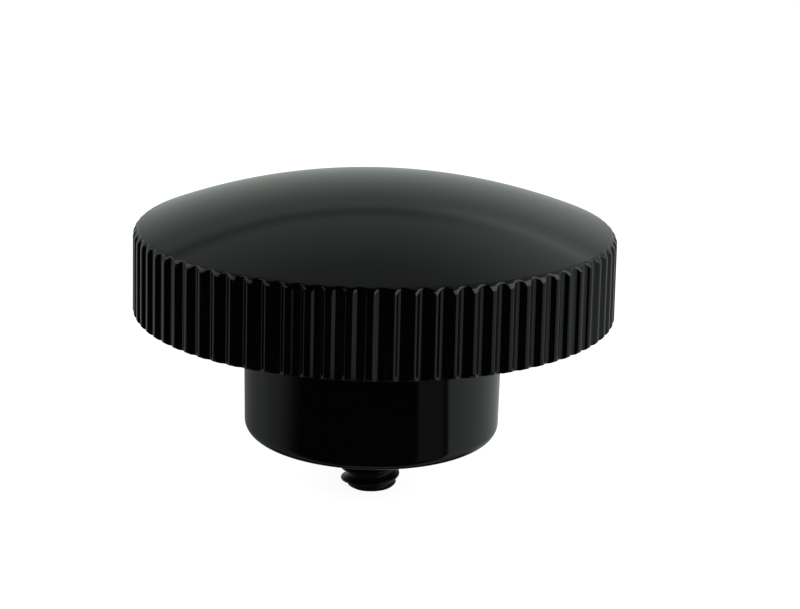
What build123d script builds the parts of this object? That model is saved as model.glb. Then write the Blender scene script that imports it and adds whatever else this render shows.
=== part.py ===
"""Knurled clamping knob: a domed plastic grip with a fluted rim, a hub and a moulded-in threaded stud.

Millimetres. The origin is the centre of the hub's seat, +Z runs up the axis to the dome,
and the stud points down along -Z. One crest of the fluted rim lies on +X.
"""
import os
from math import cos, pi, radians, sin, tan

from build123d import *

# Grip disc: a moulded rim that widens towards its underside, with broken edges and a spherical dome
grip_diameter = 50.8
rim_height = 8.85
rim_draft_angle = 0.8
rim_lower_chamfer = 0.25
rim_upper_chamfer = 0.5
dome_rise = 5.0

# Flutes: even grooves up the rim, with flat floors and sloping flanks
flute_count = 80
flute_depth = 0.41
crest_pitch_share = 0.22
floor_pitch_share = 0.32

# Hub: a smooth neck below the grip, drafted towards its rounded seat
hub_diameter = 27.5
hub_height = 13.5
hub_draft_angle = 0.5
hub_seat_rounding = 1.25

# Stud: a quarter-inch screw, at its thread's crest size outside and at its mean size in the moulding
stud_diameter = 6.35
stud_reach = 6.35
stud_end_chamfer = 0.6
thread_mean_diameter = 5.52
thread_grip = 9.5
head_across_flats = 11.1
head_height = 4.1

# How far the groove cuts run past the surfaces that they open
cut_overrun = 1.0

grip_radius = grip_diameter / 2
rim_top_radius = grip_radius - rim_height * tan(radians(rim_draft_angle))
rim_top = hub_height + rim_height
dome_top = rim_top + dome_rise
dome_radius = (rim_top_radius**2 + dome_rise**2) / (2 * dome_rise)
hub_radius = hub_diameter / 2
seat_radius = hub_radius - hub_height * tan(radians(hub_draft_angle))


def corner_at(face, point):
    """The face's corner nearest to a point."""
    return face.vertices().sort_by_distance(point)[0]


def turned_moulding():
    """The moulding as a solid of revolution, before its flutes and its screw pocket."""
    seat_corner = (seat_radius, 0)
    root_corner = (hub_radius, hub_height)
    lower_corner = (grip_radius, hub_height)
    upper_corner = (rim_top_radius, rim_top)
    walls = Polyline((0, dome_top), (0, 0), seat_corner, root_corner, lower_corner, upper_corner)
    dome = RadiusArc(upper_corner, (0, dome_top), -dome_radius)
    section = make_face(walls + dome)
    section = fillet(corner_at(section, seat_corner), hub_seat_rounding)
    section = chamfer(corner_at(section, lower_corner), rim_lower_chamfer)
    section = chamfer(corner_at(section, upper_corner), rim_upper_chamfer)
    return revolve(Plane.XZ * section, Axis.Z)


def groove_cut():
    """One groove's cutter on the +X side, leaning in with the rim's draft.

    Its section has the radial direction as local X, from the crest surface outwards.
    """
    pitch = pi * grip_diameter / flute_count
    mouth_half = pitch * (1 - crest_pitch_share) / 2
    floor_half = pitch * floor_pitch_share / 2
    section = make_face(
        Polyline(
            (cut_overrun, -mouth_half),
            (0, -mouth_half),
            (-flute_depth, -floor_half),
            (-flute_depth, floor_half),
            (0, mouth_half),
            (cut_overrun, mouth_half),
            close=True,
        )
    )
    lean = radians(rim_draft_angle)
    rim_foot = Plane(
        origin=(grip_radius, 0, hub_height),
        x_dir=(cos(lean), 0, sin(lean)),
        z_dir=(-sin(lean), 0, cos(lean)),
    )
    cut_length = rim_height + dome_rise + 2 * cut_overrun
    return extrude(rim_foot.offset(-cut_overrun) * section, cut_length)


def moulded_in_stud():
    """The screw: a plain free end below the seat, and a thinner shank with a hexagon head above it."""
    top_at_seat = (Align.CENTER, Align.CENTER, Align.MAX)
    foot_at_seat = (Align.CENTER, Align.CENTER, Align.MIN)
    free_end = Cylinder(stud_diameter / 2, stud_reach, align=top_at_seat)
    free_end = chamfer(free_end.edges().group_by(Axis.Z)[0], stud_end_chamfer)
    shank = Cylinder(thread_mean_diameter / 2, thread_grip, align=foot_at_seat)
    hexagon = RegularPolygon(head_across_flats / 2, 6, major_radius=False)
    head = Pos(0, 0, thread_grip) * extrude(hexagon, head_height)
    return free_end + shank + head


half_pitch_angle = 180 / flute_count
grooves = PolarLocations(0, flute_count, start_angle=half_pitch_angle) * groove_cut()
threaded_stud = moulded_in_stud()
knob_body = turned_moulding() - grooves - threaded_stud

os.makedirs("parts", exist_ok=True)
export_step(knob_body, "parts/knob_body.step")
export_step(threaded_stud, "parts/threaded_stud.step")
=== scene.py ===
import math

import bpy
from mathutils import Matrix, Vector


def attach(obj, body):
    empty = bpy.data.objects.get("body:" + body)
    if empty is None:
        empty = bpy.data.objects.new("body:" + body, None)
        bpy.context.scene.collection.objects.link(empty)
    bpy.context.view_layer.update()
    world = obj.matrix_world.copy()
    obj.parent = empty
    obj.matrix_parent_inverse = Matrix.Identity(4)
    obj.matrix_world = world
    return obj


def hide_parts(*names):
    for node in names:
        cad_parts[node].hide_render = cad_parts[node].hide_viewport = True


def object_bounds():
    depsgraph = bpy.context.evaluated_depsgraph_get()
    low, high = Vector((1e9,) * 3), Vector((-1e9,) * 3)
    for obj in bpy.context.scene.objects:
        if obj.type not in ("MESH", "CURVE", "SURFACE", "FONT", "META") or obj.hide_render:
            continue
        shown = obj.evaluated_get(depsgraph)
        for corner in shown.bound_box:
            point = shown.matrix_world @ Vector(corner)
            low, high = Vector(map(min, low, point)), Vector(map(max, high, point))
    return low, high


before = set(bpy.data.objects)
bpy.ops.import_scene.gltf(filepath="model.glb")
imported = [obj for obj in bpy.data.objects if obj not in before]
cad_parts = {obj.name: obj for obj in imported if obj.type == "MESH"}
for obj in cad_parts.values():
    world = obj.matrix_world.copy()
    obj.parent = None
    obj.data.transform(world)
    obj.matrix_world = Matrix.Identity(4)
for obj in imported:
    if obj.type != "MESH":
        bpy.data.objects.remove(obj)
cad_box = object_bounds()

# Knob body: dome, fluted rim and hub, one moulding in glossy black thermoset plastic.
# The rim is drafted so that it leaves its mould upwards, and the even flutes up the rim
# run out as small arches through the rounded edge of the dome.
grip_radius = 0.0254
rim_height = 0.00885
rim_draft = math.radians(0.8)
rim_lower_rounding = 0.00044
rim_upper_rounding = 0.00105
dome_rise = 0.0050

flute_count = 80
flute_depth = 0.00043
flute_flank_angle = math.radians(42)
flute_crest_rounding = 0.00050
crest_pitch_share = 0.25
arch_softness_share = 0.8
foot_edge_rounding = 0.00015

hub_radius = 0.01375
hub_height = 0.0135
hub_draft = math.radians(0.5)
hub_seat_rounding = 0.00125
hub_root_rounding = 0.0006

# The pocket in the moulding that the screw's shank and hexagon head fill
shank_radius = 0.00276
shank_grip = 0.0095
head_flat_radius = 0.00555
head_height = 0.0041
head_corner_radius = head_flat_radius / math.cos(math.pi / 6)

# How finely the wedge of one flute is divided, the dome by quarters of the way out
dome_steps = 30
dome_columns = [1, 2, 4, 4]
crest_steps = 6
groove_steps = 7
dome_edge_steps = 3
arch_steps = 9
foot_bend_steps = 4
foot_steps = 4
hub_columns = 3
hub_root_steps = 6
seat_steps = 10
shading_margin = 0.00004
dome_margin = 0.00024
same_angle = 1e-9
weld_distance = 1e-6

plastic_dark = (0.0003, 0.0005, 0.0004, 1)
plastic_light = (0.0008, 0.0011, 0.0010, 1)
plastic_roughness = (0.05, 0.08)
plastic_ior = 1.5
plastic_mottle_scale = 260
ripple_strength = 0.04
ripple_height = 0.00002

column_angle = 2 * math.pi / flute_count
rim_up = (-math.sin(rim_draft), math.cos(rim_draft))
rim_out = (math.cos(rim_draft), math.sin(rim_draft))


def on_arc(centre, radius, angle):
    """Point of a circle in the (radius, height) plane of the turned profile."""
    return (centre[0] + radius * math.cos(angle), centre[1] + radius * math.sin(angle))


def along(start, direction, distance):
    """Point at a distance from another, in a direction of the profile's plane."""
    return (start[0] + direction[0] * distance, start[1] + direction[1] * distance)


def arc_points(centre, radius, first, last, steps):
    """Points of an arc in even steps, both ends included."""
    return [on_arc(centre, radius, first + (last - first) * i / steps) for i in range(steps + 1)]


def bent(start, corner, end, steps):
    """A rounded corner: points of the parabola that leaves start and reaches end along the two edges."""
    points = []
    for i in range(steps + 1):
        t = i / steps
        weights = ((1 - t) ** 2, 2 * t * (1 - t), t * t)
        points.append(tuple(sum(w * p[k] for w, p in zip(weights, (start, corner, end))) for k in range(2)))
    return points


rim_foot = (grip_radius, hub_height)
rim_top_radius = grip_radius - rim_height * math.tan(rim_draft)
dome_radius = (rim_top_radius**2 + dome_rise**2) / (2 * dome_rise)
dome_centre = (0.0, hub_height + rim_height + dome_rise - dome_radius)

# The upper rounding touches the dome from inside and the rim's line
inner_foot = along(rim_foot, rim_out, -rim_upper_rounding)
reach = (inner_foot[0] - dome_centre[0], inner_foot[1] - dome_centre[1])
reach_up = reach[0] * rim_up[0] + reach[1] * rim_up[1]
reach_out = reach[0] * rim_out[0] + reach[1] * rim_out[1]
inner_rise = math.sqrt((dome_radius - rim_upper_rounding) ** 2 - reach_out**2)
upper_centre = along(inner_foot, rim_up, inner_rise - reach_up)
dome_edge_angle = math.atan2(upper_centre[1] - dome_centre[1], upper_centre[0] - dome_centre[0])
lower_lift = rim_lower_rounding * (1 + math.sin(rim_draft)) / math.cos(rim_draft)
lower_centre = along(along(rim_foot, rim_up, lower_lift), rim_out, -rim_lower_rounding)


def flute_section():
    """Half a pitch of the rim's section, from a crest's middle to a groove's: (way round, depth) pairs."""
    pitch = column_angle * grip_radius
    crest_half = pitch * crest_pitch_share / 2
    crest_set = flute_crest_rounding * math.tan(flute_flank_angle / 2)
    sharp_depth = (pitch / 2 - crest_half) * math.tan(flute_flank_angle)
    root_rounding = (sharp_depth - flute_depth) / (1 / math.cos(flute_flank_angle) - 1)
    crest_centre = (crest_half - crest_set, flute_crest_rounding)
    root_centre = (pitch / 2, flute_depth - root_rounding)
    crest_end = flute_flank_angle - math.pi / 2
    groove_start = flute_flank_angle + math.pi / 2
    section = [(0.0, 0.0)]
    section += arc_points(crest_centre, flute_crest_rounding, -math.pi / 2, crest_end, crest_steps)
    section += arc_points(root_centre, root_rounding, groove_start, math.pi / 2, groove_steps)
    return section


def foot_point(way):
    """Point of the rim's lower edge, at a way along its rounding and on along the underside."""
    turn = min(way / rim_lower_rounding, math.pi / 2 + rim_draft)
    past = way - turn * rim_lower_rounding
    return along(on_arc(lower_centre, rim_lower_rounding, rim_draft - turn), (-1, 0), past)


def rim_line(depth):
    """Profile of the rim at one depth of a flute, from the dome's edge down to the underside."""
    dome_side = dome_edge_angle - rim_draft
    top_turn = math.acos(1 - depth / rim_upper_rounding)
    bend_turn = top_turn + (dome_side - top_turn) * arch_softness_share
    bend_rounding = rim_upper_rounding - depth / (1 - math.cos(bend_turn))
    bend_start = rim_draft + bend_turn
    bend_centre = on_arc(upper_centre, rim_upper_rounding - bend_rounding, bend_start)
    points = arc_points(upper_centre, rim_upper_rounding, dome_edge_angle, bend_start, dome_edge_steps)
    points += arc_points(bend_centre, bend_rounding, bend_start, rim_draft, arch_steps)[1:]
    points.append(along(points[-1], rim_up, -shading_margin))
    foot_turn = math.acos(1 - depth / rim_lower_rounding)
    foot_set = max(foot_edge_rounding * math.tan(foot_turn / 2), shading_margin / 2)
    foot_corner = foot_point(foot_turn * rim_lower_rounding)
    bend_end = foot_turn * rim_lower_rounding + foot_set
    foot_end = rim_lower_rounding * (math.pi / 2 + rim_draft) + foot_edge_rounding
    foot_step = (foot_end - bend_end) / foot_steps
    points.append(along(foot_corner, rim_up, foot_set + shading_margin))
    points += bent(along(foot_corner, rim_up, foot_set), foot_corner, foot_point(bend_end), foot_bend_steps)
    return points + [foot_point(bend_end + foot_step * i) for i in range(1, foot_steps + 1)]


def ring(point, columns):
    """One row of the wedge: a profile point carried across the pitch in even steps."""
    return [(point[0], point[1], column_angle * (i / columns - 1 / 2)) for i in range(columns + 1)]


def wedge_rows():
    """All rows of one flute's wedge of the moulding, from the dome's middle round to the screw pocket."""
    dome_edge = on_arc(dome_centre, dome_radius, dome_edge_angle)
    rows = [[(0.0, dome_centre[1] + dome_radius, 0.0)]]
    for i in range(1, dome_steps):
        radius = (dome_edge[0] - dome_margin) * i / (dome_steps - 1)
        height = dome_centre[1] + math.sqrt(dome_radius**2 - radius**2)
        rows.append(ring((radius, height), dome_columns[len(dome_columns) * i // dome_steps]))
    half = flute_section()
    section = [(-way, depth) for way, depth in reversed(half[1:])] + half
    lines = [(way / grip_radius, rim_line(depth)) for way, depth in section]
    for k in range(len(lines[0][1])):
        rows.append([line[k] + (angle,) for angle, line in lines])
    underside = lines[0][1][-1][0] - shading_margin
    rows.append([(underside, hub_height, angle) for angle, _ in lines])
    wall_down = (-math.sin(hub_draft), -math.cos(hub_draft))
    upright = math.pi / 2
    root_turn = upright + hub_draft
    root_drop = hub_root_rounding * math.tan(root_turn / 2)
    root_corner = (hub_radius, hub_height)
    root_end = along(root_corner, wall_down, root_drop)
    root_centre = (root_corner[0] + root_drop, hub_height - hub_root_rounding)
    seat_radius = hub_radius - hub_height * math.tan(hub_draft)
    seat_set = hub_seat_rounding * math.tan((upright - hub_draft) / 2)
    seat_centre = (seat_radius - seat_set, hub_seat_rounding)
    seat_start = along((seat_radius, 0.0), wall_down, -seat_set)
    profile = [(root_centre[0] + shading_margin, hub_height)]
    profile += arc_points(root_centre, hub_root_rounding, upright, upright + root_turn, hub_root_steps)
    profile += [along(root_end, wall_down, shading_margin), along(seat_start, wall_down, -shading_margin)]
    profile += arc_points(seat_centre, hub_seat_rounding, -hub_draft, -upright, seat_steps)
    profile += [(seat_centre[0] - shading_margin, 0.0), (shank_radius + shading_margin, 0.0)]
    profile += [(shank_radius, 0.0), (shank_radius, shank_grip)]
    profile += [(head_corner_radius, shank_grip), (head_corner_radius, shank_grip + head_height)]
    rows += [ring(point, hub_columns) for point in profile]
    rows.append([(0.0, shank_grip + head_height, 0.0)])
    return rows


def stitched(rows):
    """Vertices and faces of rows that span the same angle, whatever their numbers of points."""
    vertices = []
    faces = []
    starts = []
    for row in rows:
        starts.append(len(vertices))
        vertices += [(r * math.cos(a), r * math.sin(a), z) for r, z, a in row]
    for k, (upper, lower) in enumerate(zip(rows, rows[1:])):
        i = j = 0
        while i < len(upper) - 1 or j < len(lower) - 1:
            a = starts[k] + i
            b = starts[k + 1] + j
            last_i = i == len(upper) - 1
            last_j = j == len(lower) - 1
            if not last_i and not last_j and abs(upper[i + 1][2] - lower[j + 1][2]) < same_angle:
                faces.append((a, b, b + 1, a + 1))
                i += 1
                j += 1
            elif last_i or (not last_j and lower[j + 1][2] < upper[i + 1][2]):
                faces.append((a, b, b + 1))
                j += 1
            else:
                faces.append((a, b, a + 1))
                i += 1
    return vertices, faces


def mottle_group():
    """Fine unevenness of a finished surface: a value that wanders between two levels, and a height."""
    broad_detail = 5
    fine_detail = 2
    fine_ratio = 9
    usual_noise = (0.3, 0.7)
    group = bpy.data.node_groups.new("fine unevenness", "ShaderNodeTree")
    for name in ("Scale", "Low", "High"):
        group.interface.new_socket(name, in_out="INPUT", socket_type="NodeSocketFloat")
    for name in ("Value", "Height"):
        group.interface.new_socket(name, in_out="OUTPUT", socket_type="NodeSocketFloat")
    nodes = group.nodes
    links = group.links
    given = nodes.new("NodeGroupInput")
    result = nodes.new("NodeGroupOutput")
    place = nodes.new("ShaderNodeTexCoord")
    broad = nodes.new("ShaderNodeTexNoise")
    broad.inputs["Detail"].default_value = broad_detail
    fine = nodes.new("ShaderNodeTexNoise")
    fine.inputs["Detail"].default_value = fine_detail
    finer = nodes.new("ShaderNodeMath")
    finer.operation = "MULTIPLY"
    finer.inputs[1].default_value = fine_ratio
    spread = nodes.new("ShaderNodeMapRange")
    spread.inputs["From Min"].default_value, spread.inputs["From Max"].default_value = usual_noise
    links.new(place.outputs["Object"], broad.inputs["Vector"])
    links.new(place.outputs["Object"], fine.inputs["Vector"])
    links.new(given.outputs["Scale"], broad.inputs["Scale"])
    links.new(given.outputs["Scale"], finer.inputs[0])
    links.new(finer.outputs[0], fine.inputs["Scale"])
    links.new(broad.outputs["Fac"], spread.inputs["Value"])
    links.new(given.outputs["Low"], spread.inputs["To Min"])
    links.new(given.outputs["High"], spread.inputs["To Max"])
    links.new(spread.outputs["Result"], result.inputs["Value"])
    links.new(fine.outputs["Fac"], result.inputs["Height"])
    return group


fine_unevenness = mottle_group()


def black_plastic():
    """Polished black thermoset: near black, with the faint ripple of a moulded skin."""
    material = bpy.data.materials.new("black moulded plastic")
    material.use_nodes = True
    nodes = material.node_tree.nodes
    links = material.node_tree.links
    shader = nodes["Principled BSDF"]
    shader.inputs["IOR"].default_value = plastic_ior
    uneven = nodes.new("ShaderNodeGroup")
    uneven.node_tree = fine_unevenness
    uneven.inputs["Scale"].default_value = plastic_mottle_scale
    uneven.inputs["Low"].default_value, uneven.inputs["High"].default_value = plastic_roughness
    tint = nodes.new("ShaderNodeMix")
    tint.data_type = "RGBA"
    tint.inputs["A"].default_value = plastic_dark
    tint.inputs["B"].default_value = plastic_light
    ripple = nodes.new("ShaderNodeBump")
    ripple.inputs["Strength"].default_value = ripple_strength
    ripple.inputs["Distance"].default_value = ripple_height
    links.new(uneven.outputs["Value"], shader.inputs["Roughness"])
    links.new(uneven.outputs["Height"], tint.inputs["Factor"])
    links.new(tint.outputs["Result"], shader.inputs["Base Color"])
    links.new(uneven.outputs["Height"], ripple.inputs["Height"])
    links.new(ripple.outputs["Normal"], shader.inputs["Normal"])
    return material


def flute_ring_tree():
    """Repeats one pitch's wedge round the axis and welds the wedges into one closed moulding."""
    tree = bpy.data.node_groups.new("flute ring", "GeometryNodeTree")
    sockets = {}
    for name, kind in (("Wedge", "Geometry"), ("Flutes", "Int"), ("Weld", "Float"), ("Finish", "Material")):
        sockets[name] = tree.interface.new_socket(name, in_out="INPUT", socket_type="NodeSocket" + kind)
    tree.interface.new_socket("Moulding", in_out="OUTPUT", socket_type="NodeSocketGeometry")
    nodes = tree.nodes
    links = tree.links
    given = nodes.new("NodeGroupInput")
    result = nodes.new("NodeGroupOutput")
    points = nodes.new("GeometryNodePoints")
    index = nodes.new("GeometryNodeInputIndex")
    step = nodes.new("ShaderNodeMath")
    step.operation = "DIVIDE"
    step.inputs[0].default_value = 2 * math.pi
    turn = nodes.new("ShaderNodeMath")
    turn.operation = "MULTIPLY"
    about_axis = nodes.new("ShaderNodeCombineXYZ")
    placed = nodes.new("GeometryNodeInstanceOnPoints")
    real = nodes.new("GeometryNodeRealizeInstances")
    weld = nodes.new("GeometryNodeMergeByDistance")
    smooth = nodes.new("GeometryNodeSetShadeSmooth")
    finish = nodes.new("GeometryNodeSetMaterial")
    links.new(given.outputs["Flutes"], points.inputs["Count"])
    links.new(given.outputs["Flutes"], step.inputs[1])
    links.new(index.outputs["Index"], turn.inputs[0])
    links.new(step.outputs[0], turn.inputs[1])
    links.new(turn.outputs[0], about_axis.inputs["Z"])
    links.new(points.outputs[0], placed.inputs["Points"])
    links.new(given.outputs["Wedge"], placed.inputs["Instance"])
    links.new(about_axis.outputs["Vector"], placed.inputs["Rotation"])
    links.new(placed.outputs["Instances"], real.inputs["Geometry"])
    links.new(real.outputs["Geometry"], weld.inputs["Geometry"])
    links.new(given.outputs["Weld"], weld.inputs["Distance"])
    links.new(weld.outputs["Geometry"], smooth.inputs["Geometry"])
    links.new(smooth.outputs["Geometry"], finish.inputs["Geometry"])
    links.new(given.outputs["Finish"], finish.inputs["Material"])
    links.new(finish.outputs["Geometry"], result.inputs["Moulding"])
    return tree, sockets


def moulding_piece():
    """The finished moulding, from one wedge and its ring."""
    wedge = bpy.data.meshes.new("flute wedge")
    vertices, faces = stitched(wedge_rows())
    wedge.from_pydata(vertices, [], faces)
    maker = bpy.data.objects.new("flute wedge", wedge)
    bpy.context.collection.objects.link(maker)
    tree, sockets = flute_ring_tree()
    modifier = maker.modifiers.new("flute ring", "NODES")
    modifier.node_group = tree
    modifier[sockets["Flutes"].identifier] = flute_count
    modifier[sockets["Weld"].identifier] = weld_distance
    modifier[sockets["Finish"].identifier] = black_plastic()
    evaluated = maker.evaluated_get(bpy.context.evaluated_depsgraph_get())
    mesh = bpy.data.meshes.new_from_object(evaluated)
    mesh.name = "knob moulding"
    bpy.data.objects.remove(maker)
    piece = bpy.data.objects.new("knob_moulding", mesh)
    bpy.context.collection.objects.link(piece)
    return piece


knob_moulding = moulding_piece()
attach(knob_moulding, "root")
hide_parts("knob_body")

# Threaded stud: the free end of a quarter-inch steel screw with a coarse right-hand thread,
# blacked in an oxide bath. Its hexagon head and the rest of its shank are held in the moulding.
stud_radius = 0.003175
stud_reach = 0.00635
stud_end_chamfer = 0.0006
thread_pitch = 0.00127
thread_depth = 0.00074
thread_crest_share = 1 / 16
thread_root_share = 1 / 8
straight_flank_share = 0.75
stud_columns = 96
rows_per_turn = 24
weld_digits = 9

steel_dark = (0.006, 0.0065, 0.0065, 1)
steel_light = (0.018, 0.020, 0.019, 1)
steel_roughness = (0.22, 0.38)
steel_metallic = 0.8
steel_ior = 1.6
steel_mottle_scale = 900
grain_strength = 0.15
grain_height = 0.00001


def thread_radius(angle, height):
    """Radius of the stud at a place on it: a rounded sixty-degree thread, cut off by the end chamfer."""
    turns = height / thread_pitch - angle / (2 * math.pi)
    from_crest = abs(turns - round(turns))
    ramp = (from_crest - thread_crest_share) / (1 / 2 - thread_root_share - thread_crest_share)
    ramp = min(max(ramp, 0.0), 1.0)
    rounded_ramp = ramp * ramp * (3 - 2 * ramp)
    eased = straight_flank_share * ramp + (1 - straight_flank_share) * rounded_ramp
    chamfer_radius = stud_radius - stud_end_chamfer + (height + stud_reach)
    return min(stud_radius - thread_depth * eased, chamfer_radius)


def stud_mesh():
    """The screw in one closed mesh: threaded free end, hidden shank and hexagon head."""
    vertices = []
    known = {}
    faces = []

    def vertex(column, radius, height):
        key = (column % stud_columns, round(radius, weld_digits), round(height, weld_digits))
        if key not in known:
            angle = 2 * math.pi * key[0] / stud_columns
            known[key] = len(vertices)
            vertices.append((radius * math.cos(angle), radius * math.sin(angle), height))
        return known[key]

    def on_thread(row, column):
        rise = (row / rows_per_turn + column / stud_columns - 1) * thread_pitch
        height = min(max(rise - stud_reach, -stud_reach), 0.0)
        angle = 2 * math.pi * (column % stud_columns) / stud_columns
        return vertex(column, thread_radius(angle, height), height)

    def add(*corners):
        distinct = [c for i, c in enumerate(corners) if c != corners[i - 1]]
        if len(distinct) > 2:
            faces.append(distinct)

    def hexagon(column):
        sixth = math.pi / 3
        from_flat = (2 * math.pi * column / stud_columns) % sixth - sixth / 2
        return head_flat_radius / math.cos(from_flat)

    last_row = rows_per_turn * math.ceil(stud_reach / thread_pitch + 1)
    for row in range(last_row):
        for column in range(stud_columns):
            add(
                on_thread(row, column),
                on_thread(row, column + 1),
                on_thread(row + 1, column + 1),
                on_thread(row + 1, column),
            )
    tip = len(vertices)
    vertices.append((0.0, 0.0, -stud_reach))
    crown = len(vertices)
    vertices.append((0.0, 0.0, shank_grip + head_height))
    for column in range(stud_columns):
        pair = (column, column + 1)
        ends = [on_thread(0, c) for c in pair]
        add(tip, ends[1], ends[0])
        rings = [[on_thread(last_row, c) for c in pair]]
        rings.append([vertex(c, shank_radius, 0.0) for c in pair])
        rings.append([vertex(c, shank_radius, shank_grip) for c in pair])
        rings.append([vertex(c, hexagon(c), shank_grip) for c in pair])
        rings.append([vertex(c, hexagon(c), shank_grip + head_height) for c in pair])
        for low, high in zip(rings, rings[1:]):
            add(low[0], low[1], high[1], high[0])
        add(crown, rings[-1][0], rings[-1][1])
    mesh = bpy.data.meshes.new("screw stud")
    mesh.from_pydata(vertices, [], faces)
    mesh.polygons.foreach_set("use_smooth", [True] * len(mesh.polygons))
    return mesh


def black_oxide_steel():
    """Blacked steel: dark and mostly metallic, with the mottle that the bath leaves."""
    material = bpy.data.materials.new("black oxide steel")
    material.use_nodes = True
    nodes = material.node_tree.nodes
    links = material.node_tree.links
    shader = nodes["Principled BSDF"]
    shader.inputs["Metallic"].default_value = steel_metallic
    shader.inputs["IOR"].default_value = steel_ior
    uneven = nodes.new("ShaderNodeGroup")
    uneven.node_tree = fine_unevenness
    uneven.inputs["Scale"].default_value = steel_mottle_scale
    uneven.inputs["Low"].default_value, uneven.inputs["High"].default_value = steel_roughness
    tint = nodes.new("ShaderNodeMix")
    tint.data_type = "RGBA"
    tint.inputs["A"].default_value = steel_dark
    tint.inputs["B"].default_value = steel_light
    grain = nodes.new("ShaderNodeBump")
    grain.inputs["Strength"].default_value = grain_strength
    grain.inputs["Distance"].default_value = grain_height
    links.new(uneven.outputs["Value"], shader.inputs["Roughness"])
    links.new(uneven.outputs["Height"], tint.inputs["Factor"])
    links.new(tint.outputs["Result"], shader.inputs["Base Color"])
    links.new(uneven.outputs["Height"], grain.inputs["Height"])
    links.new(grain.outputs["Normal"], shader.inputs["Normal"])
    return material


screw_stud = bpy.data.objects.new("screw_stud", stud_mesh())
screw_stud.data.materials.append(black_oxide_steel())
bpy.context.collection.objects.link(screw_stud)
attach(screw_stud, "root")
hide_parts("threaded_stud")

# Floor: a plain pale sheet that the stud's end stands on, lit through from below like a light table.
# It stays out of the mirror of the gloss, where the tent's lower part stands in for it.
floor_half = 3.0
floor_height = cad_box[0][2]
floor_colour = (0.5, 0.5, 0.5, 1)
floor_roughness = 0.9
floor_glow_colour = (1, 1, 1, 1)
floor_glow = 0.9


def pale_sheet():
    """Matt white sheet that glows evenly."""
    material = bpy.data.materials.new("pale sheet")
    material.use_nodes = True
    shader = material.node_tree.nodes["Principled BSDF"]
    shader.inputs["Base Color"].default_value = floor_colour
    shader.inputs["Roughness"].default_value = floor_roughness
    shader.inputs["Emission Color"].default_value = floor_glow_colour
    shader.inputs["Emission Strength"].default_value = floor_glow
    return material


floor_mesh = bpy.data.meshes.new("floor")
floor_corners = [(-1, -1), (1, -1), (1, 1), (-1, 1)]
floor_points = [(x * floor_half, y * floor_half, floor_height) for x, y in floor_corners]
floor_mesh.from_pydata(floor_points, [], [(0, 1, 2, 3)])
floor_mesh.materials.append(pale_sheet())
floor = bpy.data.objects.new("floor", floor_mesh)
floor.visible_glossy = False
bpy.context.collection.objects.link(floor)

# Light: a soft grey tent round the sides, back and top, open and dark towards the camera, with a wide
# soft box at each side. Azimuths run from the camera's side to the right, elevations up from level.
# The grades are (degrees, level) stops.
fill_level = 0.45
backdrop_level = 1.0
tent_colour = (0.92, 1.0, 0.95, 1)
left_by_elevation = [
    (-90, 0.44), (0, 0.44), (8, 0.395), (15, 0.33), (20, 0.28), (24, 0.24), (28.5, 0.25),
    (31.5, 0.155), (35, 0.265), (40, 0.26), (45, 0.245), (52, 0.2), (57, 0.19), (90, 0.17),
]
right_by_elevation = [
    (-90, 0.44), (0, 0.44), (12, 0.44), (22, 0.355), (24.5, 0.4), (28, 0.58),
    (31.5, 0.44), (36, 0.4), (44, 0.345), (52, 0.27), (57, 0.245), (90, 0.2),
]
walls_by_azimuth = [
    (-180, 1.0), (-108, 1.0), (-95, 0.8), (-84, 0.25), (-76, 0.005), (42, 0.005), (47, 0.9), (180, 1.0),
]
table_by_azimuth = [
    (-180, 0.38), (-130, 0.39), (-115, 0.5), (-92, 0.44), (-83, 0.3), (-74, 0.12), (-66, 0.01),
    (42, 0.005), (45, 0.25), (68, 0.22), (71, 0.06), (73, 0.06), (76, 1.0), (180, 1.0),
]
below_by_azimuth = [
    (-180, 0.03), (-130, 0.05), (-110, 0.3), (-85, 0.3), (-65, 0.01),
    (65, 0.01), (80, 0.5), (110, 0.5), (130, 0.05), (180, 0.03),
]
table_edge = (math.radians(-18.2), math.radians(-16.4))
below_edge = (math.radians(-46), math.radians(-34))
underfoot_edge = (math.radians(-70), math.radians(-80))
underfoot_level = 0.35
right_side_edge = (0.0, 0.34)
soft_box_distance = 0.5
soft_box_width = 0.62
soft_boxes = [
    {"name": "right soft box", "azimuth": 67, "elevation": 27, "height": 0.38, "level": 1.2},
    {"name": "left soft box", "azimuth": -85, "elevation": 38, "height": 0.22, "level": 0.55},
]


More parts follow.
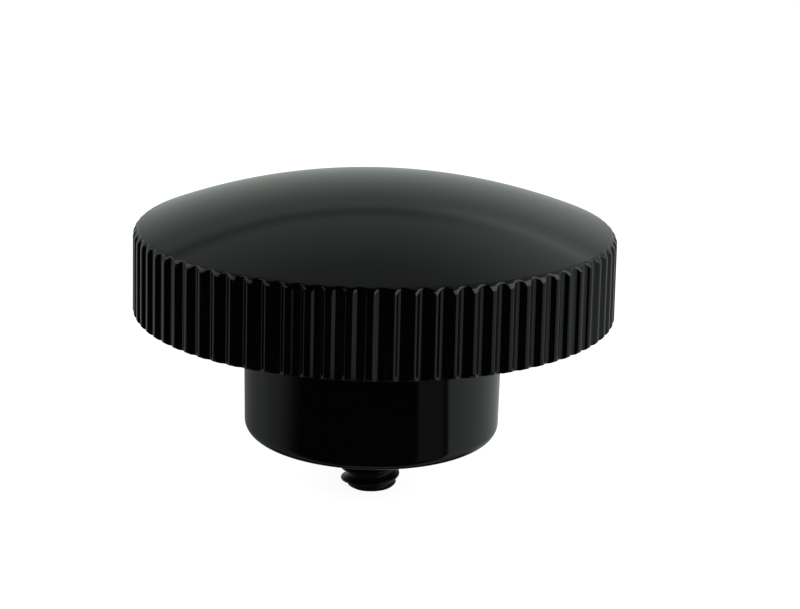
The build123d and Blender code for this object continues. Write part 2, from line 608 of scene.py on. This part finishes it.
def light_tent():
    """World that is graded by direction in glossy reflections, and even for all other light."""
    world = bpy.data.worlds.new("light tent")
    world.use_nodes = True
    nodes = world.node_tree.nodes
    links = world.node_tree.links

    def feed(value, socket):
        """Links a socket, or sets it where the value is a plain number."""
        if isinstance(value, bpy.types.NodeSocket):
            links.new(value, socket)
        else:
            socket.default_value = value

    def worked_out(operation, *values):
        """Result of one sum on levels or angles."""
        node = nodes.new("ShaderNodeMath")
        node.operation = operation
        for value, socket in zip(values, node.inputs):
            feed(value, socket)
        return node.outputs[0]

    def blended(share, first, second):
        """A level between two others."""
        node = nodes.new("ShaderNodeMix")
        node.data_type = "FLOAT"
        feed(share, node.inputs["Factor"])
        feed(first, node.inputs["A"])
        feed(second, node.inputs["B"])
        return node.outputs["Result"]

    def stepped(value, edge):
        """A share that rises smoothly from 0 to 1 between the two values of an edge."""
        step = nodes.new("ShaderNodeMapRange")
        step.interpolation_type = "SMOOTHSTEP"
        step.inputs["From Min"].default_value, step.inputs["From Max"].default_value = edge
        feed(value, step.inputs["Value"])
        return step.outputs["Result"]

    def graded(angle, half_range, stops):
        """A level that changes with an angle along a list of (degrees, level) stops."""
        share = nodes.new("ShaderNodeMapRange")
        share.inputs["From Min"].default_value = -half_range
        share.inputs["From Max"].default_value = half_range
        feed(angle, share.inputs["Value"])
        ramp = nodes.new("ShaderNodeValToRGB")
        elements = ramp.color_ramp.elements
        while len(elements) < len(stops):
            elements.new(1 / 2)
        for element, (degrees, level) in zip(elements, stops):
            element.position = (math.radians(degrees) / half_range + 1) / 2
            element.color = (level, level, level, 1)
        links.new(share.outputs["Result"], ramp.inputs["Fac"])
        return ramp.outputs["Color"]

    place = nodes.new("ShaderNodeTexCoord")
    parts = nodes.new("ShaderNodeSeparateXYZ")
    links.new(place.outputs["Generated"], parts.inputs["Vector"])
    to_camera = worked_out("MULTIPLY", parts.outputs["Y"], -1)
    azimuth = worked_out("ARCTAN2", parts.outputs["X"], to_camera)
    elevation = worked_out("ARCSINE", parts.outputs["Z"])
    underfoot = worked_out("MULTIPLY", stepped(elevation, underfoot_edge), underfoot_level)
    below = worked_out("MAXIMUM", graded(azimuth, math.pi, below_by_azimuth), underfoot)
    table = graded(azimuth, math.pi, table_by_azimuth)
    walls = graded(azimuth, math.pi, walls_by_azimuth)
    low_part = blended(stepped(elevation, below_edge), below, table)
    around = blended(stepped(elevation, table_edge), low_part, walls)
    left = graded(elevation, math.pi / 2, left_by_elevation)
    right = graded(elevation, math.pi / 2, right_by_elevation)
    sides = blended(stepped(parts.outputs["X"], right_side_edge), left, right)
    tent = worked_out("MULTIPLY", around, sides)
    path = nodes.new("ShaderNodeLightPath")
    lit = blended(path.outputs["Is Glossy Ray"], fill_level, tent)
    seen = blended(path.outputs["Is Camera Ray"], lit, backdrop_level)
    background = nodes["Background"]
    background.inputs["Color"].default_value = tent_colour
    links.new(seen, background.inputs["Strength"])
    return world


for box in soft_boxes:
    lamp = bpy.data.lights.new(box["name"], "AREA")
    lamp.shape = "RECTANGLE"
    lamp.size = soft_box_width
    lamp.size_y = box["height"]
    lamp.energy = box["level"] * math.pi * lamp.size * lamp.size_y
    holder = bpy.data.objects.new(box["name"], lamp)
    holder.matrix_world = (
        Matrix.Rotation(math.radians(box["azimuth"]), 4, "Z")
        @ Matrix.Rotation(math.radians(90 - box["elevation"]), 4, "X")
        @ Matrix.Translation((0, 0, soft_box_distance))
    )
    bpy.context.collection.objects.link(holder)
bpy.context.scene.world = light_tent()
bpy.context.scene.view_settings.view_transform = "Standard"

# Camera: the photograph's view, a little above the rim, with the knob left of and above the middle.
# The scale in pixels a metre holds at the aim, a point of the axis within the rim.
image_width = 800
image_height = 609
knob_pixel = (374.56, 260.53)
aim_height = 0.01867
camera_distance = 0.195
camera_elevation = math.radians(14.6)
camera_azimuth = math.radians(0.57)
camera_roll = math.radians(1.2)
pixels_per_metre = 9472
sensor_width = 36
nearest_seen = 0.01

camera_data = bpy.data.cameras.new("camera")
camera_data.sensor_width = sensor_width
camera_data.lens = sensor_width * pixels_per_metre * camera_distance / image_width
camera_data.shift_x = (image_width / 2 - knob_pixel[0]) / image_width
camera_data.shift_y = (knob_pixel[1] - image_height / 2) / image_width
camera_data.clip_start = nearest_seen
camera = bpy.data.objects.new("camera", camera_data)
aim = Matrix.Translation((0, 0, aim_height)) @ Matrix.Rotation(camera_azimuth, 4, "Z")
tilt = Matrix.Rotation(math.pi / 2 - camera_elevation, 4, "X")
back_off = Matrix.Translation((0, 0, camera_distance))
camera.matrix_world = aim @ tilt @ back_off @ Matrix.Rotation(camera_roll, 4, "Z")
bpy.context.collection.objects.link(camera)
bpy.context.scene.camera = camera
